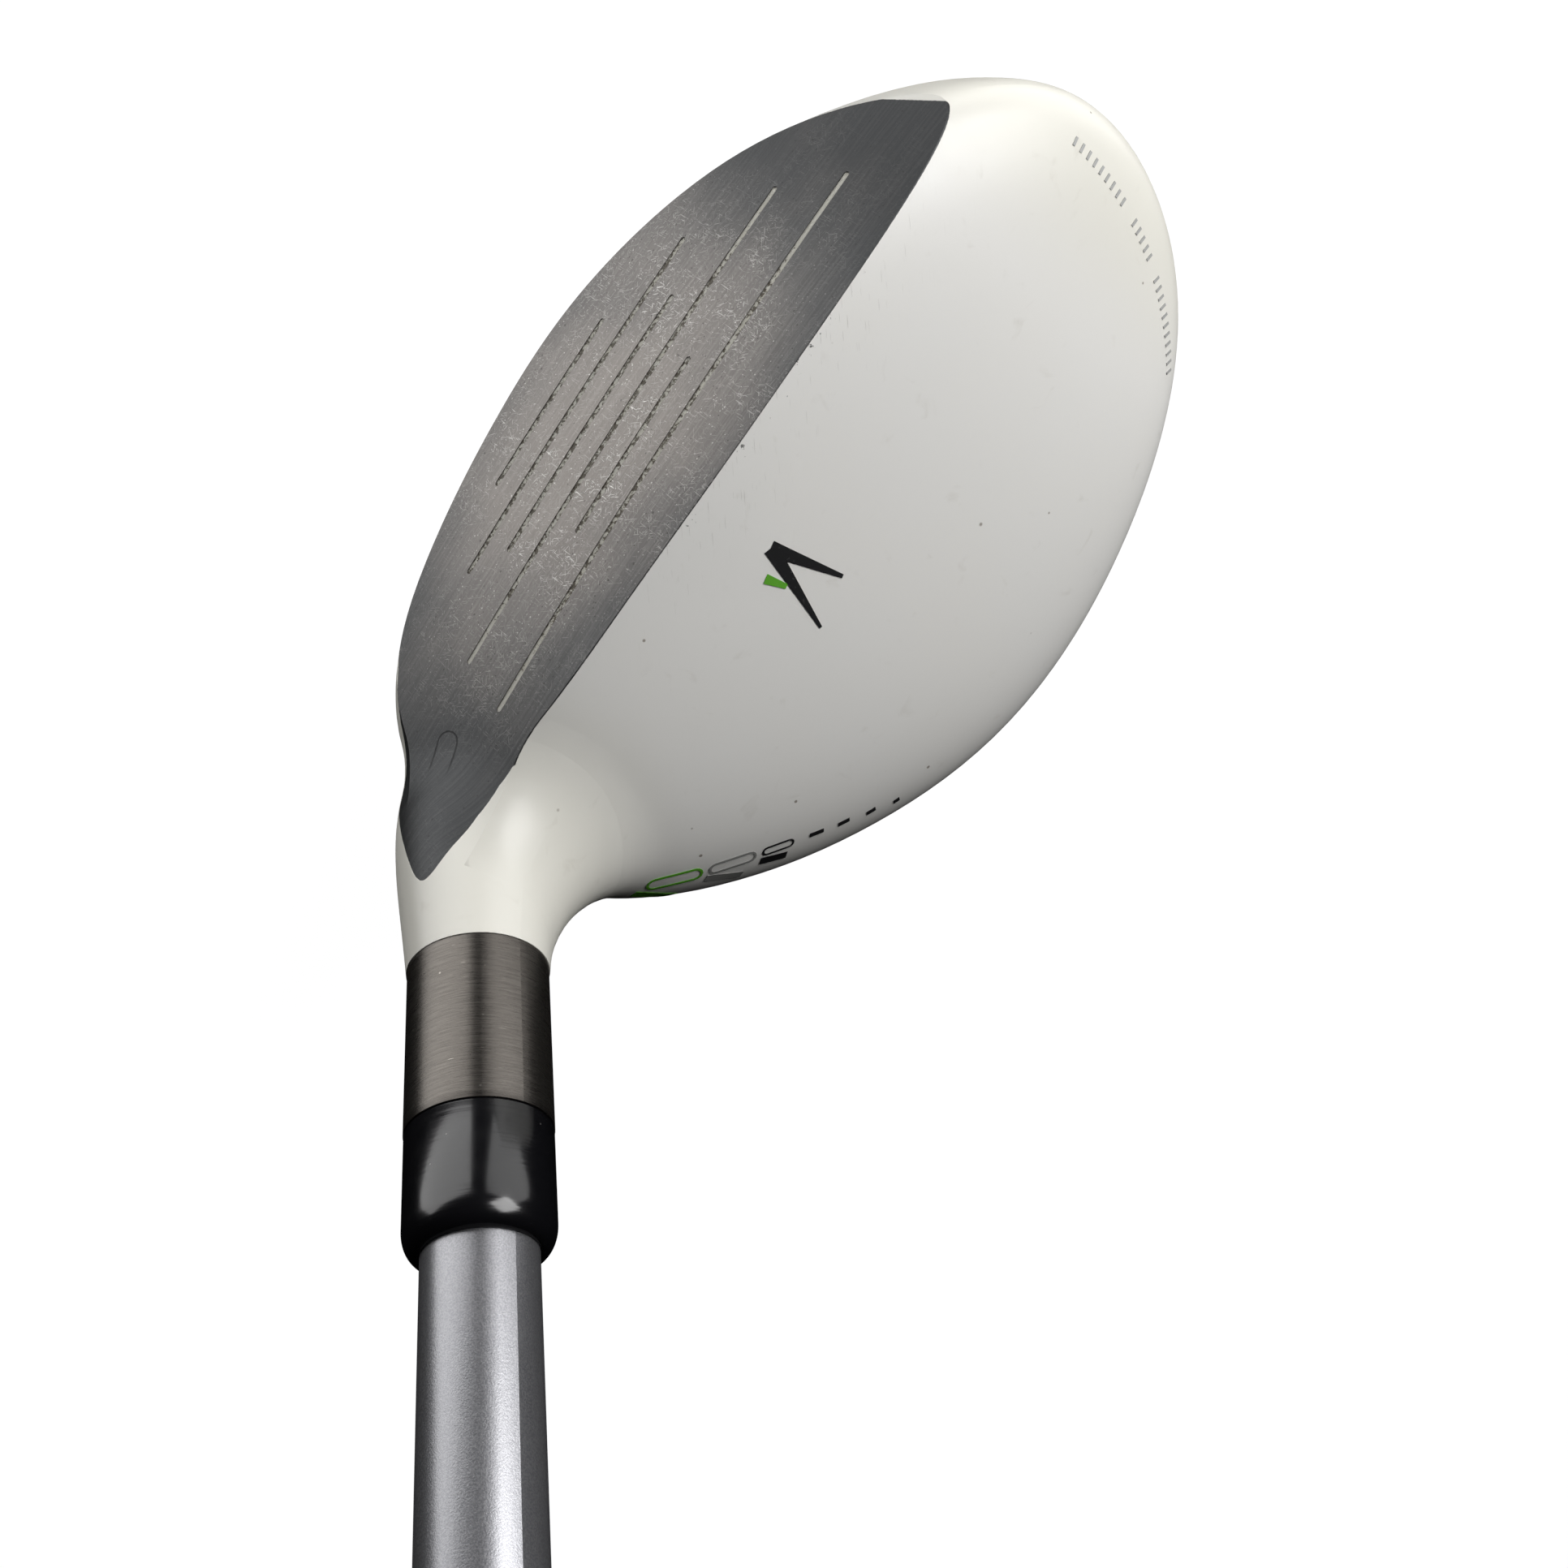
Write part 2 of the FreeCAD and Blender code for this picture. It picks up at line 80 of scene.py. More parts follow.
class Paint:
    """A material and its node tree, with one short call for each kind of node."""

    def __init__(self, name, **sockets):
        self.material = bpy.data.materials.new(name)
        self.material.use_nodes = True
        self.tree = self.material.node_tree
        self.surface = self.tree.nodes["Principled BSDF"]
        for socket, value in sockets.items():
            self.surface.inputs[socket.replace("_", " ")].default_value = value
        place = self.tree.nodes.new("ShaderNodeTexCoord").outputs["Object"]
        self.place = self.vector("SCALE", place, scale=1 / MM)
        self.x, self.y, self.z = self.split(self.place)

    def feed(self, socket, value):
        if isinstance(value, bpy.types.NodeSocket):
            self.tree.links.new(value, socket)
        else:
            socket.default_value = value

    def into(self, **sockets):
        for socket, value in sockets.items():
            self.feed(self.surface.inputs[socket.replace("_", " ")], value)

    def vector(self, operation, a, b=None, scale=None):
        node = self.tree.nodes.new("ShaderNodeVectorMath")
        node.operation = operation
        self.feed(node.inputs[0], a)
        if b is not None:
            self.feed(node.inputs[1], b)
        if scale is not None:
            self.feed(node.inputs["Scale"], scale)
        return node.outputs["Value" if operation in ("LENGTH", "DOT_PRODUCT") else "Vector"]

    def split(self, vector):
        node = self.tree.nodes.new("ShaderNodeSeparateXYZ")
        self.feed(node.inputs[0], vector)
        return node.outputs[0], node.outputs[1], node.outputs[2]

    def join(self, x, y, z):
        node = self.tree.nodes.new("ShaderNodeCombineXYZ")
        for socket, value in zip(node.inputs, (x, y, z)):
            self.feed(socket, value)
        return node.outputs[0]

    def math(self, operation, a, b=0.0, c=0.0):
        node = self.tree.nodes.new("ShaderNodeMath")
        node.operation = operation
        for socket, value in zip(node.inputs, (a, b, c)):
            self.feed(socket, value)
        return node.outputs[0]

    def add(self, a, b):
        return self.math("ADD", a, b)

    def times(self, a, b):
        return self.math("MULTIPLY", a, b)

    def line(self, value, slope, start):
        """slope * value + start"""
        return self.math("MULTIPLY_ADD", value, slope, start)

    def least(self, a, b):
        return self.math("MINIMUM", a, b)

    def most(self, a, b):
        return self.math("MAXIMUM", a, b)

    def span(self, value, low, high):
        """0 where value is at low, 1 where it is at high, and smooth between."""
        node = self.tree.nodes.new("ShaderNodeMapRange")
        node.interpolation_type = "SMOOTHSTEP"
        backwards = not isinstance(low, bpy.types.NodeSocket) and low > high
        ends = (high, low) if backwards else (low, high)
        self.feed(node.inputs["Value"], value)
        self.feed(node.inputs["From Min"], ends[0])
        self.feed(node.inputs["From Max"], ends[1])
        result = node.outputs["Result"]
        return self.line(result, -1, 1) if backwards else result

    def noise(self, scale, detail=3.0, rough=0.5, at=None, warp=0.0):
        node = self.tree.nodes.new("ShaderNodeTexNoise")
        self.feed(node.inputs["Vector"], self.place if at is None else at)
        self.feed(node.inputs["Scale"], scale)
        self.feed(node.inputs["Detail"], detail)
        self.feed(node.inputs["Roughness"], rough)
        self.feed(node.inputs["Distortion"], warp)
        return node.outputs["Fac"]

    def specks(self, scale, size, share):
        """Round specks: scale is how many cells a millimetre holds, share how many have one."""
        node = self.tree.nodes.new("ShaderNodeTexVoronoi")
        self.feed(node.inputs["Vector"], self.place)
        node.inputs["Scale"].default_value = scale
        chance = self.split(node.outputs["Color"])[0]
        chosen = self.math("LESS_THAN", chance, share)
        return self.times(self.span(node.outputs["Distance"], size, size * 0.6), chosen)

    def streaks(self, along, across, length, width, share, seed=0.0):
        """Sparse straight streaks: 1 on a streak, 0 elsewhere."""
        at = self.join(self.times(along, 1 / length), self.times(across, 1 / width), seed)
        return self.span(self.noise(1.0, detail=1.0, at=at), 1 - share, 1.04 - share)

    def mix(self, share, a, b):
        node = self.tree.nodes.new("ShaderNodeMix")
        node.data_type = "RGBA"
        self.feed(node.inputs[0], share)
        for socket, value in zip((node.inputs[6], node.inputs[7]), (a, b)):
            self.feed(socket, value if isinstance(value, bpy.types.NodeSocket) else (*value, 1.0))
        return node.outputs[2]

    def between(self, share, a, b):
        """The number a where share is 0 and b where it is 1."""
        node = self.tree.nodes.new("ShaderNodeMix")
        self.feed(node.inputs[0], share)
        self.feed(node.inputs[2], a)
        self.feed(node.inputs[3], b)
        return node.outputs[0]

    def bump(self, height, distance, strength=1.0):
        """A normal from a height whose range of 1 stands for a distance in millimetres."""
        node = self.tree.nodes.new("ShaderNodeBump")
        self.feed(node.inputs["Height"], height)
        node.inputs["Distance"].default_value = distance * MM
        node.inputs["Strength"].default_value = strength
        return node.outputs[0]

    def station(self):
        """Distance along the shaft axis from the ground."""
        return self.vector("DOT_PRODUCT", self.place, SHAFT_AXIS)

    def off_axis(self):
        """Distance from the shaft axis."""
        along = self.vector("SCALE", SHAFT_AXIS, scale=self.station())
        return self.vector("LENGTH", self.vector("SUBTRACT", self.place, along))

    def turn(self):
        """Angle about the shaft axis in radians, from the heel side towards the target."""
        heelward = Vector((-SHAFT_AXIS.z, 0, SHAFT_AXIS.x))
        return self.math("ARCTAN2", self.y, self.vector("DOT_PRODUCT", self.place, heelward))


def dress(paint, *nodes):
    """Give CAD nodes their material."""
    for node in nodes:
        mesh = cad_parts[node].data
        mesh.materials.clear()
        mesh.materials.append(paint.material)


# ---------------------------------------------------------------- head

def depth_behind_face(p):
    """How far back from the striking face a place lies."""
    dx = p.add(p.x, -FACE_POINT[0])
    dz = p.add(p.z, -FACE_POINT[2])
    flat = p.line(dz, -math.tan(LOFT), p.line(dx, -math.tan(FACE_OPEN), FACE_POINT[1]))
    bulge = p.times(p.times(dx, dx), 1 / (2 * BULGE_RADIUS))
    roll = p.times(p.times(dz, dz), 1 / (2 * ROLL_RADIUS * math.cos(LOFT) ** 2))
    surface = p.math("SUBTRACT", p.math("SUBTRACT", flat, bulge), roll)
    return p.math("SUBTRACT", surface, p.y)


def bare_metal_margin(p, depth):
    """How far inside the edge of the bare metal a place lies: negative on the white paint.

    The metal covers the face, runs out over the neck in a rounded point, and ends
    short of the toe along a slanted line.
    """
    # The upper edge: steep over the head, gentle over the blend and gentler on the neck.
    height_at_axis = 29.15
    on_head = p.most(p.x, 0)
    on_blend = p.most(p.line(p.x, -1, -6.5), 0)
    on_neck = p.most(p.line(p.x, -1, -9.7), 0)
    top = p.line(on_neck, 0.17, p.line(on_blend, 0.2, p.line(on_head, 3, height_at_axis)))
    below_top = p.times(p.math("SUBTRACT", top, p.z), 0.93)

    # The heel end: a rounded point, with one slope above it and another below.
    point_x = -14.75
    point_z = 19.5
    above_point = p.add(p.z, -point_z)
    heel = p.most(p.line(above_point, -0.238, point_x), p.line(above_point, -1.27, point_x))
    point = p.math("SMOOTH_MIN", below_top, p.math("SUBTRACT", p.x, heel), 4.6)

    # The rim of the face, which counts only away from the neck, and the slanted line at the toe.
    rim_depth = 0.14
    toe_line_foot = 59.6
    no_limit = 20
    off_neck = p.span(p.off_axis(), 8.8, 10.5)
    on_stem = p.times(p.line(off_neck, -1, 1), no_limit)
    rim = p.add(p.line(depth, -1, rim_depth), on_stem)
    short_of_toe = p.times(p.math("SUBTRACT", p.line(p.z, 0.32, toe_line_foot), p.x), 0.9)
    toe_corner = p.math("SMOOTH_MIN", rim, short_of_toe, 0.5)
    front = p.add(p.line(p.y, 1, -2), p.times(off_neck, no_limit))
    return p.least(p.least(point, toe_corner), front)


def white_finish(p, depth):
    """Colour, roughness and height of the satin white paint, with its grime and chips."""
    clouds = p.noise(0.06, detail=2)
    colour = p.mix(clouds, (0.87, 0.865, 0.84), (0.87, 0.855, 0.815))
    yellowed = p.most(p.span(p.x, 58, 72), p.span(p.off_axis(), 22, 9))
    colour = p.mix(yellowed, colour, (0.80, 0.785, 0.715))

    smudge = p.span(p.noise(0.35, detail=4, warp=0.6), 0.62, 0.80)
    colour = p.mix(p.times(smudge, 0.16), colour, (0.42, 0.38, 0.30))
    grime = p.add(p.specks(0.16, 0.055, 0.28), p.specks(0.42, 0.10, 0.05))
    colour = p.mix(p.times(grime, 0.75), colour, (0.16, 0.12, 0.08))
    hair = p.streaks(p.x, p.line(p.x, 0.4, p.y), 9, 0.10, 0.19, seed=4.0)
    colour = p.mix(p.times(hair, 0.35), colour, (0.30, 0.25, 0.18))

    # Balls hit high on the face chip and nick the paint behind its upper edge.
    hit_middle = 36
    hit_zone = p.span(p.math("ABSOLUTE", p.add(p.x, -hit_middle)), 34, 8)
    near_edge = p.times(p.span(depth, 3.2, 0.3), p.span(p.z, 25, 27))
    chance = p.add(p.noise(1.7, detail=5, rough=0.7), p.line(p.times(near_edge, hit_zone), 0.17, -0.80))
    chips = p.span(chance, 0, 0.02)
    colour = p.mix(p.times(chips, 0.85), colour, (0.10, 0.095, 0.09))
    nick = p.streaks(p.x, p.line(p.x, -0.8, p.y), 2.4, 0.10, 0.30, seed=9.0)
    nick = p.times(nick, p.times(p.span(depth, 9, 1), p.times(hit_zone, 0.8)))
    colour = p.mix(p.times(nick, 0.6), colour, (0.30, 0.28, 0.25))

    roughness = p.line(p.noise(0.5, detail=3), 0.16, 0.26)
    height = p.math("SUBTRACT", p.times(p.noise(0.9, detail=1), 0.12), p.add(chips, nick))
    return colour, roughness, height


def scratch_fan(p, along, across, angles, length, width, share):
    """Sparse scratches in several directions at once."""
    marks = 0.0
    for number, degrees in enumerate(angles):
        turn = math.radians(degrees)
        a = p.line(along, math.cos(turn), p.times(across, math.sin(turn)))
        b = p.line(across, math.cos(turn), p.times(along, -math.sin(turn)))
        marks = p.most(marks, p.streaks(a, b, length, width, share, seed=3.7 * number))
    return marks


def metal_finish(p):
    """Colour, roughness and height of the brushed gunmetal face, scratched by play."""
    slope = p.times(p.add(p.z, -FACE_POINT[2]), 1 / math.cos(LOFT))

    # Play has rubbed the middle of the face bright.
    across = p.times(p.add(p.x, -SCORE_MIDDLE), 1 / 34)
    upward = p.times(slope, 1 / 22)
    spread = p.math("SQRT", p.add(p.times(across, across), p.times(upward, upward)))
    wear = p.span(p.line(p.noise(0.09, detail=2), 0.7, p.add(spread, -0.35)), 1.15, 0.15)
    colour = p.mix(wear, (0.065, 0.067, 0.069), (0.195, 0.180, 0.168))
    brushed = p.noise(1.0, detail=5, rough=0.65, at=p.join(p.times(p.x, 0.09), p.times(slope, 3.4), 0))
    streaked = p.mix(wear, (0.110, 0.112, 0.114), (0.29, 0.272, 0.255))
    colour = p.mix(p.span(brushed, 0.35, 0.75), colour, streaked)

    # Short and long scratches in clusters, bright dots and dark pits.
    clusters = p.span(p.noise(0.16, detail=3), 0.38, 0.66)
    fine = scratch_fan(p, p.x, slope, (12, 58, 95, 140), 1.1, 0.09, 0.335)
    long = scratch_fan(p, p.x, slope, (25, 118), 3.4, 0.08, 0.27)
    marks = p.times(p.most(fine, long), p.line(clusters, 0.6, 0.2))
    dots = p.most(p.specks(1.5, 0.14, 0.30), p.specks(3.1, 0.22, 0.22))
    marks = p.times(p.most(marks, p.times(dots, 0.75)), p.line(wear, 0.93, 0.07))
    colour = p.mix(marks, colour, (0.74, 0.73, 0.70))
    pits = p.times(p.most(p.specks(0.8, 0.12, 0.16), p.specks(1.9, 0.2, 0.2)), 0.6)
    colour = p.mix(pits, colour, (0.035, 0.033, 0.03))

    # The toe and heel ends stay dark, as they came from the works.
    at_ends = p.most(p.span(p.x, 42, 62), p.times(p.span(p.x, 12, -10), 0.6))
    colour = p.mix(p.times(at_ends, 0.55), colour, (0.02, 0.021, 0.022))
    stamp = stamped_u(p)
    colour = p.mix(p.times(stamp, 0.55), colour, (0.01, 0.01, 0.01))

    roughness = p.line(brushed, 0.22, p.line(marks, -0.06, 0.38))
    height = p.math("SUBTRACT", p.times(brushed, 0.25), p.times(p.most(marks, stamp), 0.5))
    return colour, roughness, height


def stamped_u(p):
    """1 along a faint U-shaped line on the heel end of the face, its open end to the heel."""
    bend_x = -6.5
    bend_z = 21.3
    bend_radius = 1.2
    turn = math.radians(25)
    across = p.add(p.x, -bend_x)
    upward = p.add(p.z, -bend_z)
    along = p.line(across, -math.cos(turn), p.times(upward, math.sin(turn)))
    aside = p.line(across, math.sin(turn), p.times(upward, math.cos(turn)))
    past = p.line(p.most(along, 0), -1, along)
    reach = p.math("SQRT", p.add(p.times(past, past), p.times(aside, aside)))
    line = p.span(p.math("ABSOLUTE", p.add(reach, -bend_radius)), 0.13, 0.05)
    return p.times(line, p.span(along, 3.6, 1.6))


def head_finish():
    """The head's two finishes, parted along the edge of the bare metal."""
    p = Paint("head_finish")
    depth = depth_behind_face(p)
    margin = bare_metal_margin(p, depth)
    ragged = p.line(p.noise(2.6, detail=4, rough=0.7), 0.07, p.add(margin, -0.035))
    metal = p.span(ragged, 0, 0.05)
    white = white_finish(p, depth)
    bare = metal_finish(p)
    height = p.between(metal, p.add(white[2], 0.6), bare[2])
    p.into(
        Base_Color=p.mix(metal, white[0], bare[0]),
        Roughness=p.between(metal, white[1], bare[1]),
        Metallic=p.times(metal, 0.9),
        Normal=p.bump(height, 0.03),
    )
    return p


def score_paint():
    """Pale paint in the score lines, clean at their ends and worn out between."""
    p = Paint("score_paint", Roughness=0.62)
    worn = p.span(p.math("ABSOLUTE", p.add(p.x, -SCORE_MIDDLE)), 27, 17)
    lost = p.add(p.noise(2.4, detail=5, rough=0.65), p.line(worn, 0.17, -0.64))
    colour = p.mix(p.noise(0.8, detail=4), (0.66, 0.65, 0.60), (0.46, 0.44, 0.36))
    colour = p.mix(p.span(lost, 0, 0.08), colour, (0.10, 0.085, 0.06))
    p.into(Base_Color=colour, Normal=p.bump(p.noise(2.2, detail=4), 0.08))
    return p


def badge_metal():
    p = Paint("badge_metal", Metallic=0.9)
    grain = p.noise(1.0, detail=5, at=p.join(p.times(p.x, 0.08), p.times(p.y, 4), 0))
    rub = scratch_fan(p, p.x, p.y, (5, 40, 140), 7, 0.12, 0.28)
    colour = p.mix(grain, (0.05, 0.05, 0.053), (0.12, 0.12, 0.124))
    p.into(Base_Color=p.mix(p.times(rub, 0.7), colour, (0.42, 0.42, 0.41)))
    p.into(Roughness=p.line(grain, 0.25, 0.24), Normal=p.bump(p.math("SUBTRACT", grain, rub), 0.02))
    return p


def screw_steel():
    """Steel turned on a lathe: rings about the screw's own axis."""
    p = Paint("screw_steel", Metallic=1.0)
    low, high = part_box("weight_screw")
    middle = (low + high) / 2 / MM
    out = p.vector("LENGTH", p.join(p.add(p.x, -middle.x), p.add(p.y, -middle.y), 0))
    rings = p.noise(1.0, detail=3, at=p.join(p.times(out, 9), 0, p.times(p.z, 3)))
    colour = p.mix(rings, (0.34, 0.34, 0.345), (0.60, 0.60, 0.59))
    p.into(Base_Color=colour, Roughness=p.line(rings, 0.2, 0.22), Normal=p.bump(rings, 0.02))
    return p


# ---------------------------------------------------------------- hosel, shaft and grip

def hosel_metal():
    """Dark metal brushed round the hosel, with a few light nicks."""
    p = Paint("hosel_metal", Metallic=0.92)
    station = p.station()
    turn = p.turn()
    brushed = p.noise(1.0, detail=5, rough=0.7, at=p.join(p.times(station, 8), p.times(turn, 1.8), 0))
    colour = p.mix(p.span(brushed, 0.3, 0.75), (0.090, 0.082, 0.074), (0.150, 0.138, 0.124))
    worn = p.span(p.math("SUBTRACT", station, p.noise(0.9)), HOSEL_TOP - 1.4, HOSEL_TOP - 0.6)
    colour = p.mix(p.times(worn, 0.5), colour, (0.04, 0.036, 0.033))
    nicks = p.most(p.specks(0.8, 0.10, 0.14), p.streaks(turn, station, 0.25, 0.12, 0.24, seed=2.0))
    colour = p.mix(p.times(nicks, 0.55), colour, (0.45, 0.42, 0.38))
    p.into(Base_Color=colour, Roughness=p.line(brushed, 0.14, 0.21), Normal=p.bump(brushed, 0.015))
    return p


def ferrule_black():
    p = Paint("ferrule_black", Coat_Weight=0.3, Coat_Roughness=0.12)
    station = p.station()
    turned = p.noise(1.0, detail=3, at=p.join(p.times(station, 2.4), 0, 0))
    dust = p.most(p.specks(0.9, 0.09, 0.16), p.streaks(p.turn(), station, 0.3, 0.08, 0.20, seed=6.0))
    p.into(
        Base_Color=p.mix(p.times(dust, 0.35), (0.004, 0.004, 0.005), (0.35, 0.34, 0.32)),
        Roughness=p.line(p.noise(0.8, detail=4), 0.14, 0.13),
        Normal=p.bump(turned, 0.02),
    )
    return p


def shaft_grey():
    """Metallic grey paint under a satin lacquer."""
    p = Paint("shaft_grey", Metallic=0.75, Coat_Weight=0.3, Coat_Roughness=0.22)
    flake = p.noise(7, detail=2)
    colour = p.mix(p.span(flake, 0.3, 0.7), (0.24, 0.24, 0.255), (0.34, 0.34, 0.355))
    length = p.noise(1.0, detail=3, at=p.join(p.times(p.turn(), 1.6), p.times(p.station(), 0.05), 0))
    colour = p.mix(p.times(length, 0.25), colour, (0.15, 0.15, 0.165))
    marks = p.most(p.specks(0.6, 0.08, 0.15), p.streaks(p.station(), p.turn(), 5, 0.03, 0.2, seed=5.0))
    colour = p.mix(p.times(marks, 0.4), colour, (0.55, 0.55, 0.54))
    p.into(Base_Color=colour, Roughness=p.line(flake, 0.12, 0.28), Normal=p.bump(flake, 0.012))
    return p


def grip_rubber(name):
    """Dull rubber with a fine pebbled skin, paler where dust sits on it."""
    p = Paint(name, Specular_IOR_Level=0.35)
    pebble = p.noise(3.2, detail=3)
    dust = p.span(p.noise(0.12, detail=5), 0.48, 0.78)
    colour = p.mix(pebble, (0.014, 0.014, 0.015), (0.034, 0.034, 0.035))
    colour = p.mix(p.times(dust, 0.3), colour, (0.11, 0.108, 0.10))
    p.into(Base_Color=colour, Roughness=p.line(pebble, 0.2, 0.62), Normal=p.bump(pebble, 0.12))
    return p


def plain(name, dark, pale, grain, **sockets):
    """A simple grained finish for the pieces that are hidden inside the club."""
    p = Paint(name, **sockets)
    speckle = p.noise(grain, detail=4)
    p.into(Base_Color=p.mix(speckle, dark, pale), Normal=p.bump(speckle, 0.05))
    return p


# ---------------------------------------------------------------- own pieces

def add_piece(name, corners, faces, paint):
    """A mesh piece of the club, fixed to it."""
    mesh = bpy.data.meshes.new(name)
    mesh.from_pydata(corners, [], faces)
    mesh.update()
    mesh.materials.append(paint.material)
    piece = bpy.data.objects.new(name, mesh)
    bpy.context.scene.collection.objects.link(piece)
    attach(piece, "root")
    return piece


def smooth(piece, degrees):
    """Smooth shading, but for edges sharper than an angle."""
    mesh = piece.data
    mesh.polygons.foreach_set("use_smooth", [True] * len(mesh.polygons))
    mesh.set_sharp_from_angle(angle=math.radians(degrees))


def lathe(name, outline, around, paint, radius_of=None):
    """A ring turned about the shaft axis from a closed outline of (radius, station).

    radius_of(radius, station, angle) may change the radius from place to place.
    """
    heelward = Vector((-SHAFT_AXIS.z, 0, SHAFT_AXIS.x))
    targetward = Vector((0, 1, 0))
    corners = []
    for radius, station in outline:
        for step in range(around):
            angle = 2 * math.pi * step / around
            out = heelward * math.cos(angle) + targetward * math.sin(angle)
            here = radius_of(radius, station, angle) if radius_of else radius
            corners.append((SHAFT_AXIS * station + out * here) * MM)
    faces = []
    count = len(outline)
    for row in range(count):
        for step in range(around):
            ahead = (step + 1) % around
            below = row * around
            above = (row + 1) % count * around
            faces.append((below + step, below + ahead, above + ahead, above + step))
    piece = add_piece(name, corners, faces, paint)
    smooth(piece, 40)
    return piece


def make_ferrule():
    """The collar over the joint: straight, then rounded in to the shaft."""
    bore = 4.9
    chamfer = 0.15
    steps = 14
    outline = [
        (bore, HOSEL_TOP),
        (FERRULE_RADIUS - chamfer, HOSEL_TOP),
        (FERRULE_RADIUS, HOSEL_TOP + 0.2),
    ]
    for step in range(steps + 1):
        turn = math.pi / 2 * step / steps
        radius = FERRULE_TOP_RADIUS + (FERRULE_RADIUS - FERRULE_TOP_RADIUS) * math.cos(turn)
        station = FERRULE_SHOULDER + (FERRULE_TOP - FERRULE_SHOULDER) * math.sin(turn)
        outline.append((radius, station))
    outline.append((bore, FERRULE_TOP))
    piece = lathe("ferrule_smooth", outline, 96, ferrule_black())
    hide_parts("ferrule")


def grip_radius(radius, station, angle):
    """The grip's radius with shallow crossing grooves pressed into it."""
    largest_bore = 8.5
    patterned = GRIP_START + 18 <= station <= GRIP_END - 14
    if radius < largest_bore or not patterned:
        return radius
    pitch = 13.0
    turns = 5
    half_width = 0.11
    groove_depth = 0.4
    share = 0.0
    for hand in (-1, 1):
        phase = station / pitch + hand * turns * angle / (2 * math.pi)
        gap = abs(phase - round(phase))
        share = max(share, 1 - gap / half_width)
    return radius - groove_depth * share


def make_grip():
    """The rubber sleeve with its pressed pattern, on the CAD sleeve's outline."""
    bore = 7.6
    flare_start = 985
    profile = [(8.1, GRIP_START), (9.0, GRIP_START + 3), (11.8, flare_start), (13.4, GRIP_END)]
    rows = 340
    first = GRIP_START + 0.5
    outline = [(bore, GRIP_START), profile[0]]
    for row in range(rows + 1):
        station = first + (GRIP_END - first) * row / rows
        outline.append((profile_radius(profile, station), station))
    outline.append((bore, GRIP_END))
    piece = lathe("grip_pattern", outline, 120, grip_rubber("grip_rubber"), grip_radius)
    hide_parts("grip_sleeve")


def profile_radius(profile, station):
    """The radius at a station of an outline of straight tapers."""
    for (low_radius, low), (high_radius, high) in zip(profile, profile[1:]):
        if station <= high:
            share = (station - low) / (high - low)
            return low_radius + share * (high_radius - low_radius)
    return profile[-1][0]


# ---------------------------------------------------------------- printed marks

def head_surface():
    """The head's skin, to lay prints on."""
    corners = []
    faces = []
    for node in ("head_body", "crown_shell"):
        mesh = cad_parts[node].data
        first = len(corners)
        corners += [v.co.copy() for v in mesh.vertices]
        faces += [[first + i for i in face.vertices] for face in mesh.polygons]
    return BVHTree.FromPolygons(corners, faces)


def on_head(surface, x, y):
    """The head's top at (x, y), or its nearest side if that is off the head, a hair off the paint."""
    waist = 19
    gap = 0.06
    spot, normal, _, _ = surface.ray_cast(Vector((x, y, OVER_HEAD)) * MM, Vector((0, 0, -1)))
    if spot is None:
        spot, normal, _, _ = surface.find_nearest(Vector((x, y, waist)) * MM)
    return spot + normal * gap * MM


def divided(path, closed):
    """The path with a point at least every millimetre."""
    ends = path + path[:1] if closed else path
    points = []
    for a, b in zip(ends, ends[1:]):
        steps = max(1, math.ceil((b - a).length))
        points += [a.lerp(b, step / steps) for step in range(steps)]
    return points if closed else points + [ends[-1]]


def print_mark(name, surface, strips, paint):
    """Thin marks on the head. A strip is (path in plan, width at its start and end, closed)."""
    corners = []
    faces = []
    for path, widths, closed in strips:
        points = divided([Vector(p) for p in path], closed)
        count = len(points)
        first = len(corners)
        for i, point in enumerate(points):
            before = points[i - 1] if i or closed else point
            after = points[(i + 1) % count] if i < count - 1 or closed else point
            side = (after - before).normalized()
            side = Vector((-side.y, side.x))
            width = widths[0] + (widths[1] - widths[0]) * i / (count - 1)
            for sign in (-0.5, 0.5):
                place = point + side * width * sign
                corners.append(on_head(surface, place.x, place.y))
        for i in range(count if closed else count - 1):
            a = first + 2 * i
            b = first + 2 * ((i + 1) % count)
            faces.append((a, a + 1, b + 1, b))
    piece = add_piece(name, corners, faces, paint)
    thickness = piece.modifiers.new("thickness", "SOLIDIFY")
    thickness.thickness = 0.04 * MM
    thickness.offset = 0
    return piece


def print_ink(name, colour):
    """Printed ink, slightly uneven and rubbed."""
    p = Paint(name, Roughness=0.42)
    rubbed = p.span(p.noise(2.4, detail=4), 0.62, 0.8)
    p.into(Base_Color=p.mix(p.times(rubbed, 0.4), colour, tuple(0.6 * c + 0.2 for c in colour)))
    return p


def around_head(degrees, reach):
    """A place in plan from the head's middle, at an angle from the toe towards the target."""
    turn = math.radians(degrees)
    return HEAD_MIDDLE + Vector((math.cos(turn), math.sin(turn))) * reach


def rim_bar(start, end, reach, width):
    """A bar that follows the head's rim between two angles."""
    return [around_head(start, reach), around_head(end, reach)], (width, width), False


def skirt_reach(degrees):
    """How far out the row of marks on the heel side of the skirt runs."""
    return 27.6 + 0.0046 * (degrees - 224) ** 2


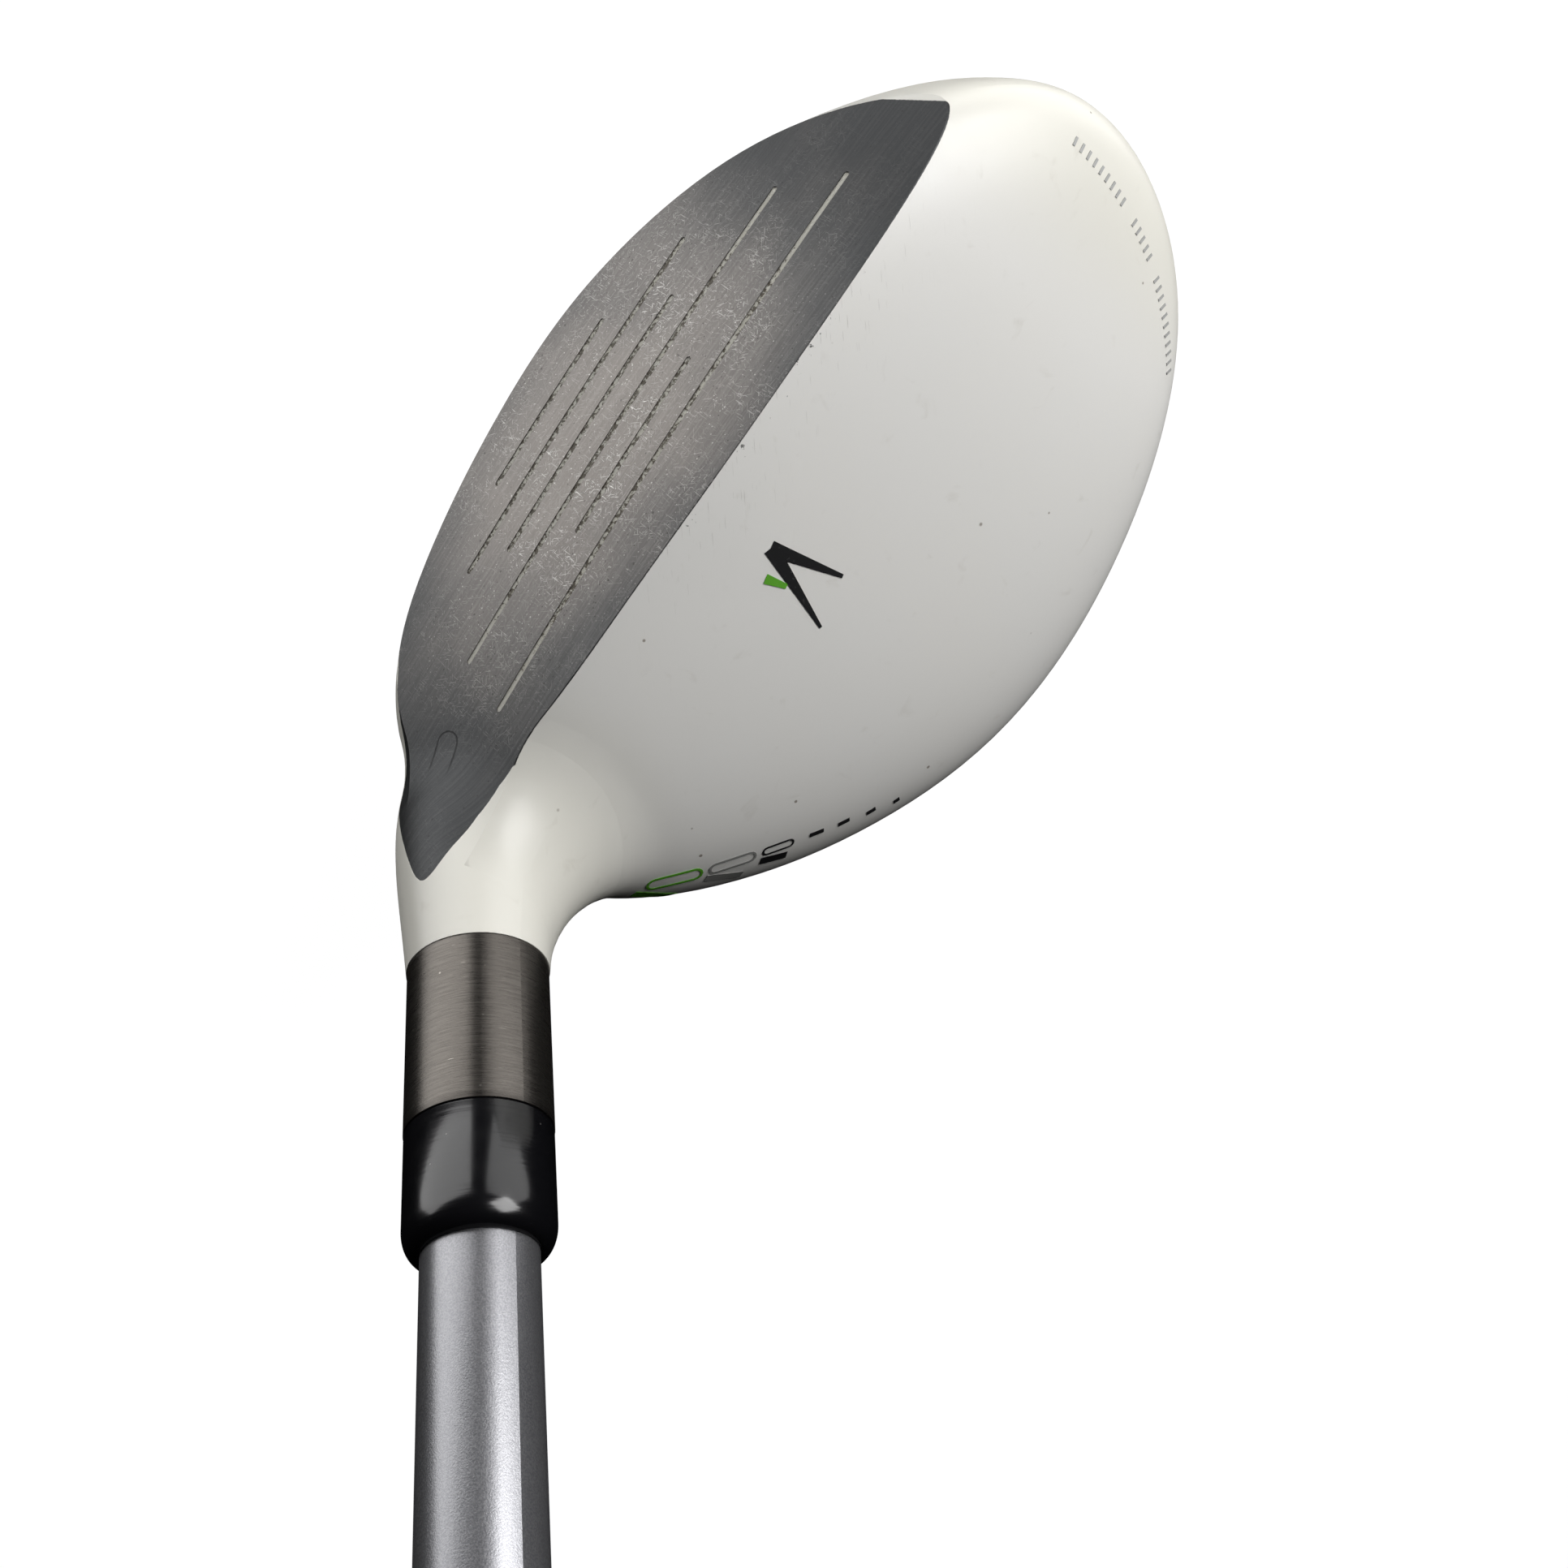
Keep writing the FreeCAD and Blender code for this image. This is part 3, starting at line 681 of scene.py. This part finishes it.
def capsule(start, end, width, line):
    """The outline of a long rounded bar on the skirt."""
    a = around_head(start, skirt_reach(start))
    b = around_head(end, skirt_reach(end))
    along = (b - a).normalized()
    out = Vector((-along.y, along.x))
    path = []
    for centre, heading in ((b, 1), (a, -1)):
        for degrees in range(-90, 91, 30):
            turn = math.radians(degrees)
            spoke = along * math.cos(turn) - out * math.sin(turn)
            path.append(centre + spoke * heading * width / 2)
    return path, (line, line), True


def make_emblem(surface, black, green):
    """A plain chevron on the crown with a small tick beside it."""
    peak = (25.3, -7.0)
    arms = [
        ([peak, (26.6, -15.4)], (1.5, 0.4), False),
        ([peak, (21.3, -16.3)], (1.5, 0.3), False),
    ]
    print_mark("mark_chevron", surface, arms, black)
    print_mark("mark_tick", surface, [([(22.6, -8.2), (23.0, -10.6)], (1.0, 0.5), False)], green)


def make_skirt_marks(surface, black, green, grey):
    """A row of bars, capsules and dashes on the heel side of the skirt."""
    bar_lift = 1.3
    for ink, paint, start, end in (
        ("green", green, 190, 199),
        ("grey", grey, 202, 210),
        ("black", black, 213, 219),
    ):
        bar = rim_bar(start, end, skirt_reach(start) + bar_lift, 1.0)
        print_mark("skirt_bar_" + ink, surface, [bar], paint)
    for ink, paint, start, end, width, line in (
        ("green", green, 192, 199, 1.5, 0.28),
        ("grey", grey, 203, 210, 1.3, 0.28),
        ("black", black, 214, 219, 1.0, 0.22),
    ):
        print_mark("skirt_capsule_" + ink, surface, [capsule(start, end, width, line)], paint)
    dashes = [
        rim_bar(start, start + length, skirt_reach(start), 0.55)
        for start, length in ((224, 3.4), (231, 2.8), (238, 2.2), (244.5, 1.4))
    ]
    print_mark("skirt_dashes", surface, dashes, black)


def make_toe_ticks(surface, ink):
    half_length = 0.45
    ticks = []
    for angle in tick_angles():
        inner = around_head(angle, toe_reach(angle) - half_length)
        outer = around_head(angle, toe_reach(angle) + half_length)
        ticks.append(([inner, outer], (0.3, 0.3), False))
    print_mark("toe_ticks", surface, ticks, ink)


def make_marks():
    """Plain marks in place of the maker's."""
    surface = head_surface()
    black = print_ink("ink_black", (0.012, 0.012, 0.013))
    green = print_ink("ink_green", (0.12, 0.42, 0.03))
    grey = print_ink("ink_grey", (0.30, 0.30, 0.29))
    make_emblem(surface, black, green)
    make_skirt_marks(surface, black, green, grey)
    make_toe_ticks(surface, print_ink("ink_tick", (0.42, 0.42, 0.41)))


def tick_angles():
    """Three groups of evenly spaced ticks along the toe."""
    step = 1.15
    start = -3.5
    gap = 1.5 * step
    angles = []
    for count in (9, 5, 11):
        angles += [start - step * number for number in range(count)]
        start -= step * count + gap
    return angles


def toe_reach(degrees):
    """How far out the row of ticks at the toe runs."""
    return 50.8 - 0.0024 * (degrees + 6) ** 2


# ---------------------------------------------------------------- stage

def make_camera():
    """The main camera, about 18 cm from the head."""
    data = bpy.data.cameras.new("camera")
    data.sensor_width = 36
    data.lens = 38.64
    data.clip_start = 0.01
    camera = bpy.data.objects.new("camera", data)
    camera.location = Vector((24.04, 73.54, 168.18)) * MM
    camera.rotation_euler = Euler([math.radians(a) for a in (-24.46, -26.40, -55.02)])
    bpy.context.scene.collection.objects.link(camera)
    bpy.context.scene.camera = camera
    bpy.context.view_layer.update()
    return camera


def add_area_light(name, width, height, power):
    """A soft rectangular light that the camera doesn't see. It shines along its own -Z."""
    data = bpy.data.lights.new(name, "AREA")
    data.shape = "RECTANGLE"
    data.size = width
    data.size_y = height
    data.energy = power
    light = bpy.data.objects.new(name, data)
    light.visible_camera = False
    bpy.context.scene.collection.objects.link(light)
    return light


def make_light(name, azimuth, lift, distance, width, height, power):
    """A soft light aimed at the head, placed as the camera sees it.

    The azimuth runs from the right of the picture round by its top, and the lift is
    the angle towards the camera. The width lies along the picture, the height towards
    the camera.
    """
    light = add_area_light(name, width, height, power)
    turn = math.radians(azimuth)
    rise = math.radians(lift)
    flat = Vector((math.cos(turn), math.sin(turn), 0))
    back = flat * math.cos(rise) + Vector((0, 0, math.sin(rise)))
    across = Vector((-flat.y, flat.x, 0))
    turned = CAMERA.matrix_world.to_3x3()
    light.location = HEAD + turned @ back * distance
    light.rotation_euler = (turned @ Matrix((across, back.cross(across), back)).transposed()).to_euler()


def make_grip_light(name, side):
    """A soft light on one side of the grip, which faces away from the head and doesn't reach it."""
    light = add_area_light(name, 0.2, 0.6, 2.0)
    low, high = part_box("grip_sleeve")
    back = Vector((0.15, 0.30 * side, -0.35))
    light.location = (low + high) / 2 + back
    light.rotation_euler = back.to_track_quat("Z", "Y").to_euler()


def make_stage():
    """A pale light table and a pale dome round it, which throw no glow or shade on the club."""
    bpy.ops.mesh.primitive_plane_add(size=2 * STAGE_RADIUS)
    floor = bpy.context.object
    floor.name = "floor"
    bpy.ops.mesh.primitive_uv_sphere_add(segments=64, ring_count=32, radius=STAGE_RADIUS)
    dome = bpy.context.object
    dome.name = "dome"
    for piece in (floor, dome):
        white = (1, 1, 1, 1)
        p = Paint(piece.name + "_white", Roughness=0.9, Emission_Color=white, Emission_Strength=1.0)
        p.into(Base_Color=p.mix(p.noise(0.02), (0.04, 0.04, 0.04), (0.05, 0.05, 0.05)))
        piece.data.materials.append(p.material)
        piece.visible_diffuse = False
        piece.visible_glossy = False
        piece.visible_shadow = False


def make_world():
    """Soft light from above that fades out below the horizon."""
    world = bpy.data.worlds.new("studio")
    bpy.context.scene.world = world
    world.use_nodes = True
    nodes = world.node_tree.nodes
    links = world.node_tree.links
    direction = nodes.new("ShaderNodeTexCoord")
    split = nodes.new("ShaderNodeSeparateXYZ")
    fade = nodes.new("ShaderNodeMapRange")
    fade.inputs["From Min"].default_value = -0.05
    fade.inputs["From Max"].default_value = 0.7
    fade.inputs["To Min"].default_value = SKY_BELOW
    fade.inputs["To Max"].default_value = SKY_ABOVE
    links.new(direction.outputs["Generated"], split.inputs[0])
    links.new(split.outputs["Z"], fade.inputs["Value"])
    links.new(fade.outputs["Result"], nodes["Background"].inputs["Strength"])


# ---------------------------------------------------------------- making

dress(head_finish(), "head_body", "crown_shell", "face_plate")
dress(score_paint(), "score_line_paint")
dress(badge_metal(), "sole_badge")
dress(screw_steel(), "weight_screw")
dress(hosel_metal(), "hosel_tube")
dress(shaft_grey(), "shaft")
dress(grip_rubber("cap_rubber"), "grip_cap")
dress(plain("weight_alloy", (0.22, 0.21, 0.20), (0.36, 0.34, 0.32), 1.5, Metallic=0.9), "rear_weight")
dress(plain("glue_amber", (0.50, 0.38, 0.16), (0.66, 0.55, 0.30), 0.3, Roughness=0.15), "tuning_glue")
dress(plain("plug_cork", (0.30, 0.20, 0.11), (0.48, 0.35, 0.22), 2.5, Roughness=0.85),
      "hosel_plug", "tip_plug")
dress(plain("epoxy", (0.52, 0.50, 0.38), (0.62, 0.60, 0.48), 0.6, Roughness=0.2), "epoxy_bond")
dress(plain("tip_brass", (0.52, 0.38, 0.14), (0.66, 0.50, 0.22), 2.0, Metallic=1.0, Roughness=0.35),
      "tip_weight")
dress(plain("tape_paper", (0.66, 0.64, 0.58), (0.76, 0.74, 0.69), 2.0, Roughness=0.8), "grip_tape")
make_ferrule()
make_grip()
make_marks()

CAMERA = make_camera()
head_low, head_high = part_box("head_body")
HEAD = (head_low + head_high) / 2
make_stage()
# Two wide lights for the reflections on the face and the round parts, and a small near one,
# whose light falls off along the crown.
make_light("soft_left", 134, 6, 1.2, 1.55, 0.97, 11.5)
make_light("soft_right", 54, 1, 1.2, 1.12, 0.98, 5.8)
make_light("soft_top", 28, 44, 0.25, 0.16, 0.16, 0.56)
make_grip_light("grip_front", 1)
make_grip_light("grip_rear", -1)
make_world()
bpy.context.scene.view_settings.view_transform = "Standard"
